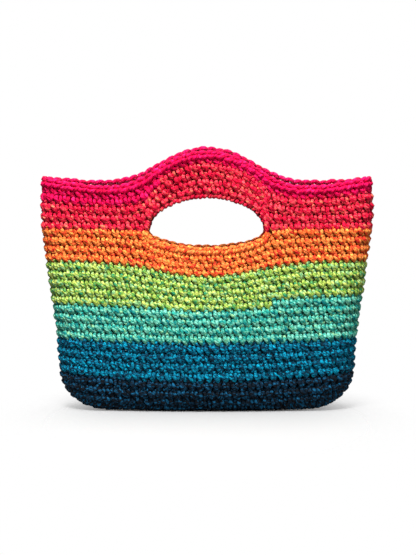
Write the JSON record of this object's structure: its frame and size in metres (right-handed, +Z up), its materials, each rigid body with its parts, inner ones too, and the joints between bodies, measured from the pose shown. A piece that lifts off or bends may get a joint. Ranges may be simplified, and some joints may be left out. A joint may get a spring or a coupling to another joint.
{
  "type": "crocheted handbag",
  "caption": "Small standing handbag crocheted in thick marled yarn in rainbow bands, with an oval base, rounded lower corners and a hand hole under an arched rim in each panel.",
  "frame": {"origin": "centre of the base where it stands on the floor", "axes": "+Z up, +X along the bag's width to the right seen from the front, the front panel faces -Y"},
  "size_m": [0.356, 0.1, 0.2852],
  "materials": {
    "navy_yarn": "thick marled yarn in single crochet, matt",
    "blue_yarn": "thick marled yarn in single crochet, matt",
    "turquoise_yarn": "thick marled yarn in single crochet, matt",
    "green_yarn": "thick marled yarn in single crochet, matt",
    "orange_yarn": "thick marled yarn in single crochet, matt",
    "coral_yarn": "thick marled yarn in single crochet, matt",
    "raspberry_yarn": "thick plain yarn in single crochet, matt"
  },
  "bodies": {
    "root": {"navy_base": "navy_yarn", "blue_band": "blue_yarn", "turquoise_band": "turquoise_yarn", "green_band": "green_yarn", "orange_band": "orange_yarn", "coral_handles": "coral_yarn", "raspberry_rim": "raspberry_yarn"}
  },
  "joints": []
}
